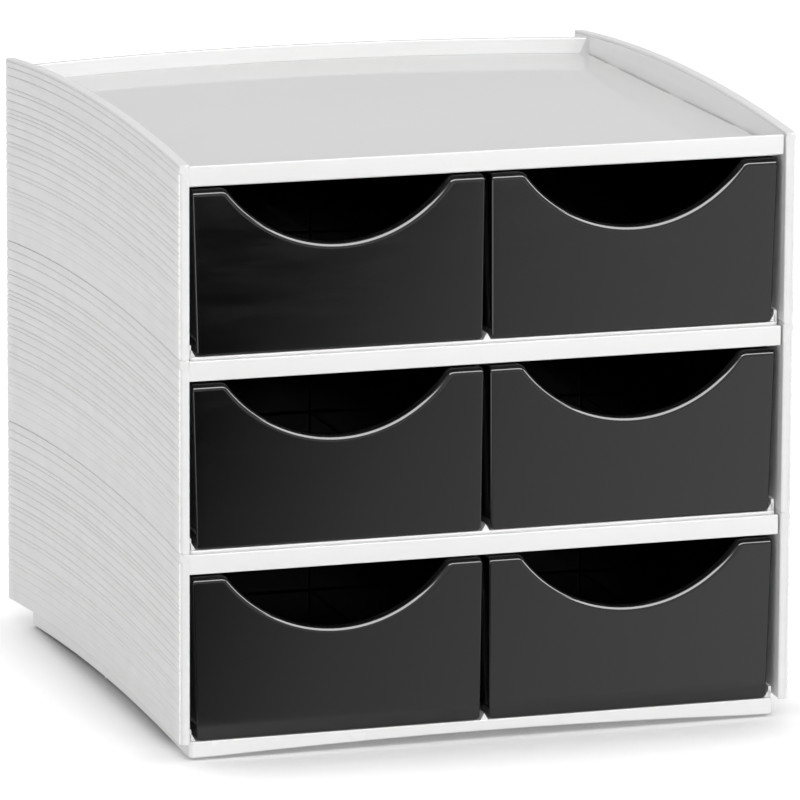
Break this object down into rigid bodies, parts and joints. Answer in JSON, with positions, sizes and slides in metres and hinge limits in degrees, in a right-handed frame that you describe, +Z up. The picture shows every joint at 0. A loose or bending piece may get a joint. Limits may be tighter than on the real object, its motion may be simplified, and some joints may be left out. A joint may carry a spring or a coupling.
{
  "type": "desk organizer with drawers",
  "caption": "Desk storage box of stacked modules with sliding drawers that have round finger cut-outs, ribbed side panels and a shallow tray on top.",
  "frame": {"origin": "middle of the footprint, on the table", "axes": "+X along the front to the right as seen by the user, +Y from the front to the back, +Z up"},
  "size_m": [0.28, 0.282, 0.2686],
  "materials": {
    "white_shell": "glossy white moulded plastic",
    "ribbed_side": "satin white moulded plastic with ribs",
    "black_drawer": "glossy black moulded plastic",
    "foot_rubber": "black rubber"
  },
  "bodies": {
    "housing": {"base_lower": "white_shell", "deck_lower": "white_shell", "back_wall_lower": "white_shell", "divider_lower": "white_shell", "left_panel_lower": "ribbed_side", "right_panel_lower": "ribbed_side", "base_middle": "white_shell", "deck_middle": "white_shell", "back_wall_middle": "white_shell", "divider_middle": "white_shell", "left_panel_middle": "ribbed_side", "right_panel_middle": "ribbed_side", "base_upper": "white_shell", "deck_upper": "white_shell", "back_wall_upper": "white_shell", "divider_upper": "white_shell", "left_panel_upper": "ribbed_side", "right_panel_upper": "ribbed_side", "feet": "foot_rubber"},
    "drawer_lower_left": {"drawer_lower_left": "black_drawer"},
    "drawer_lower_right": {"drawer_lower_right": "black_drawer"},
    "drawer_middle_left": {"drawer_middle_left": "black_drawer"},
    "drawer_middle_right": {"drawer_middle_right": "black_drawer"},
    "drawer_upper_left": {"drawer_upper_left": "black_drawer"},
    "drawer_upper_right": {"drawer_upper_right": "black_drawer"}
  },
  "joints": [
    {"name": "slide_lower_left", "type": "slide", "parent": "housing", "child": "drawer_lower_left", "axis": [0, -1, 0], "range_m": [0, 0.19]},
    {"name": "slide_lower_right", "type": "slide", "parent": "housing", "child": "drawer_lower_right", "axis": [0, -1, 0], "range_m": [0, 0.19]},
    {"name": "slide_middle_left", "type": "slide", "parent": "housing", "child": "drawer_middle_left", "axis": [0, -1, 0], "range_m": [0, 0.19]},
    {"name": "slide_middle_right", "type": "slide", "parent": "housing", "child": "drawer_middle_right", "axis": [0, -1, 0], "range_m": [0, 0.19]},
    {"name": "slide_upper_left", "type": "slide", "parent": "housing", "child": "drawer_upper_left", "axis": [0, -1, 0], "range_m": [0, 0.19]},
    {"name": "slide_upper_right", "type": "slide", "parent": "housing", "child": "drawer_upper_right", "axis": [0, -1, 0], "range_m": [0, 0.19]}
  ]
}
